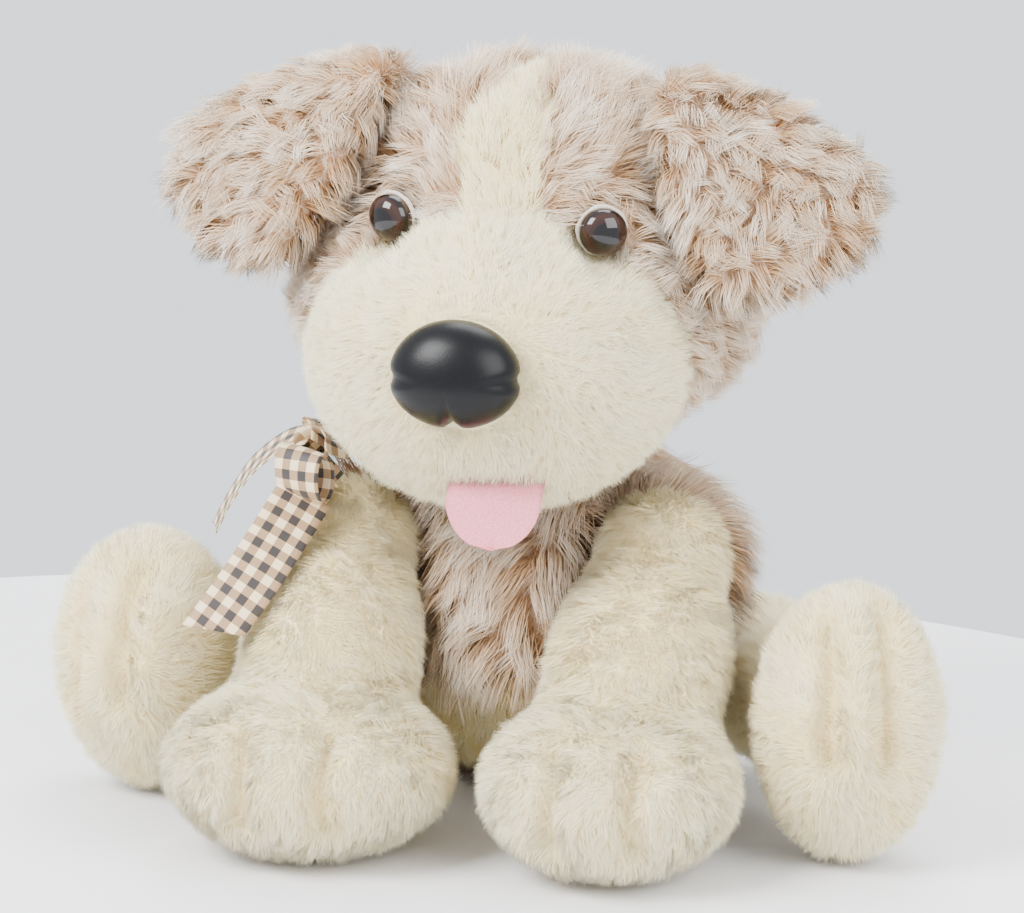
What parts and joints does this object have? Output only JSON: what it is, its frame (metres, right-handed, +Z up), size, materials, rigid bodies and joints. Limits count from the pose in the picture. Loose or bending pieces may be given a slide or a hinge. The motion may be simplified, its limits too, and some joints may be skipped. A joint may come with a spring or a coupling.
{
  "type": "plush puppy",
  "caption": "Sitting plush puppy with folded ears, a broad pale muzzle, splayed feet and a checked ribbon bow.",
  "frame": {"origin": "centre of the flat seat face that rests on a table", "axes": "+Z up, the puppy faces -Y, its left side is +X"},
  "size_m": [0.3656, 0.3145, 0.2969],
  "materials": {
    "shaggy_plush": "long-pile frosted taupe plush",
    "cream_plush": "short-pile cream plush",
    "fibre_filling": "polyester fibre filling",
    "pellets": "bagged plastic pellets",
    "nose_leatherette": "satin black leatherette",
    "eye_felt": "off-white felt",
    "eye_iris": "glossy dark brown",
    "eye_pupil": "glossy black",
    "eye_dome": "clear glossy",
    "washer": "natural",
    "tongue_felt": "pink velour felt",
    "ear_lining": "beige plush lining",
    "thread": "cream thread",
    "ribbon": "woven checked ribbon"
  },
  "bodies": {
    "torso": {"torso_shell": "shaggy_plush", "belly_panel": "cream_plush", "torso_stuffing": "fibre_filling", "pellet_bag": "pellets", "closing_seam": "thread", "neck_ribbon": "ribbon", "bow_knot": "ribbon", "bow_loop_front": "ribbon", "bow_loop_back": "ribbon"},
    "neck": {"neck_shell": "shaggy_plush", "neck_stuffing": "fibre_filling"},
    "head": {"head_shell": "shaggy_plush", "blaze_panel": "cream_plush", "head_stuffing": "fibre_filling", "muzzle_shell": "cream_plush", "chin_panel": "cream_plush", "muzzle_stuffing": "fibre_filling", "nose_cover": "nose_leatherette", "nose_padding": "fibre_filling", "eye_felt_left": "eye_felt", "eye_felt_right": "eye_felt", "eye_base_left": "eye_iris", "eye_base_right": "eye_iris", "eye_pupil_left": "eye_pupil", "eye_pupil_right": "eye_pupil", "eye_dome_left": "eye_dome", "eye_dome_right": "eye_dome", "eye_washer_left": "washer", "eye_washer_right": "washer"},
    "tongue": {"tongue_front": "tongue_felt", "tongue_back": "tongue_felt"},
    "ear_left": {"ear_outer_left": "shaggy_plush", "ear_lining_left": "ear_lining"},
    "ear_right": {"ear_outer_right": "shaggy_plush", "ear_lining_right": "ear_lining"},
    "foreleg_left": {"foreleg_shell_left": "cream_plush", "paw_shell_left": "cream_plush", "foreleg_stuffing_left": "fibre_filling", "paw_pellets_left": "pellets", "paw_stitches_left": "thread"},
    "foreleg_right": {"foreleg_shell_right": "cream_plush", "paw_shell_right": "cream_plush", "foreleg_stuffing_right": "fibre_filling", "paw_pellets_right": "pellets", "paw_stitches_right": "thread"},
    "hindleg_left": {"hindleg_shell_left": "cream_plush", "foot_shell_left": "cream_plush", "hindleg_stuffing_left": "fibre_filling", "foot_pellets_left": "pellets", "foot_stitches_left": "thread"},
    "hindleg_right": {"hindleg_shell_right": "cream_plush", "foot_shell_right": "cream_plush", "hindleg_stuffing_right": "fibre_filling", "foot_pellets_right": "pellets", "foot_stitches_right": "thread"},
    "tail": {"tail_shell": "shaggy_plush", "tail_stuffing": "fibre_filling"},
    "ribbon_end_front": {"bow_tail_front": "ribbon"},
    "ribbon_end_back": {"bow_tail_back": "ribbon"}
  },
  "joints": [
    {"name": "neck_turn", "type": "hinge", "parent": "torso", "child": "neck", "pos_m": [0, 0.018, 0.15], "axis": [0, 0, 1], "range_deg": [-3, 4]},
    {"name": "head_nod", "type": "hinge", "parent": "neck", "child": "head", "pos_m": [0, 0.018, 0.15], "axis": [-1, 0, 0], "range_deg": [-2, 4]},
    {"name": "tongue_flap", "type": "hinge", "parent": "head", "child": "tongue", "pos_m": [0.01, -0.0977, 0.1442], "axis": [-1, 0, 0], "range_deg": [0, 22]},
    {"name": "ear_left_lift", "type": "hinge", "parent": "head", "child": "ear_left", "pos_m": [0.06018, -0.016, 0.28379], "axis": [0, -1, 0], "range_deg": [0, 50]},
    {"name": "ear_right_lift", "type": "hinge", "parent": "head", "child": "ear_right", "pos_m": [-0.04974, -0.016, 0.28801], "axis": [0, 1, 0], "range_deg": [0, 50]},
    {"name": "foreleg_left_lift", "type": "hinge", "parent": "torso", "child": "foreleg_left", "pos_m": [0.062, -0.034, 0.106], "axis": [-1, 0, 0], "range_deg": [0, 30]},
    {"name": "foreleg_right_lift", "type": "hinge", "parent": "torso", "child": "foreleg_right", "pos_m": [-0.062, -0.034, 0.106], "axis": [-1, 0, 0], "range_deg": [0, 15]},
    {"name": "hindleg_left_spread", "type": "hinge", "parent": "torso", "child": "hindleg_left", "pos_m": [0.088, 0.034, 0.042], "axis": [0, 0, 1], "range_deg": [0, 25]},
    {"name": "hindleg_right_spread", "type": "hinge", "parent": "torso", "child": "hindleg_right", "pos_m": [-0.088, 0.034, 0.042], "axis": [0, 0, -1], "range_deg": [0, 25]},
    {"name": "tail_wag", "type": "hinge", "parent": "torso", "child": "tail", "pos_m": [0, 0.103, 0.046], "axis": [0, 0, 1], "range_deg": [-30, 30]},
    {"name": "ribbon_front_lift", "type": "hinge", "parent": "torso", "child": "ribbon_end_front", "pos_m": [-0.075, -0.06, 0.132], "axis": [-1, 0, 0], "range_deg": [0, 15]},
    {"name": "ribbon_back_swing", "type": "hinge", "parent": "torso", "child": "ribbon_end_back", "pos_m": [-0.08, -0.044, 0.148], "axis": [0, 1, 0], "range_deg": [0, 15]}
  ],
  "couplings": [
    {"joint": "ribbon_front_lift", "follows": "foreleg_right_lift", "ratio": 1}
  ]
}
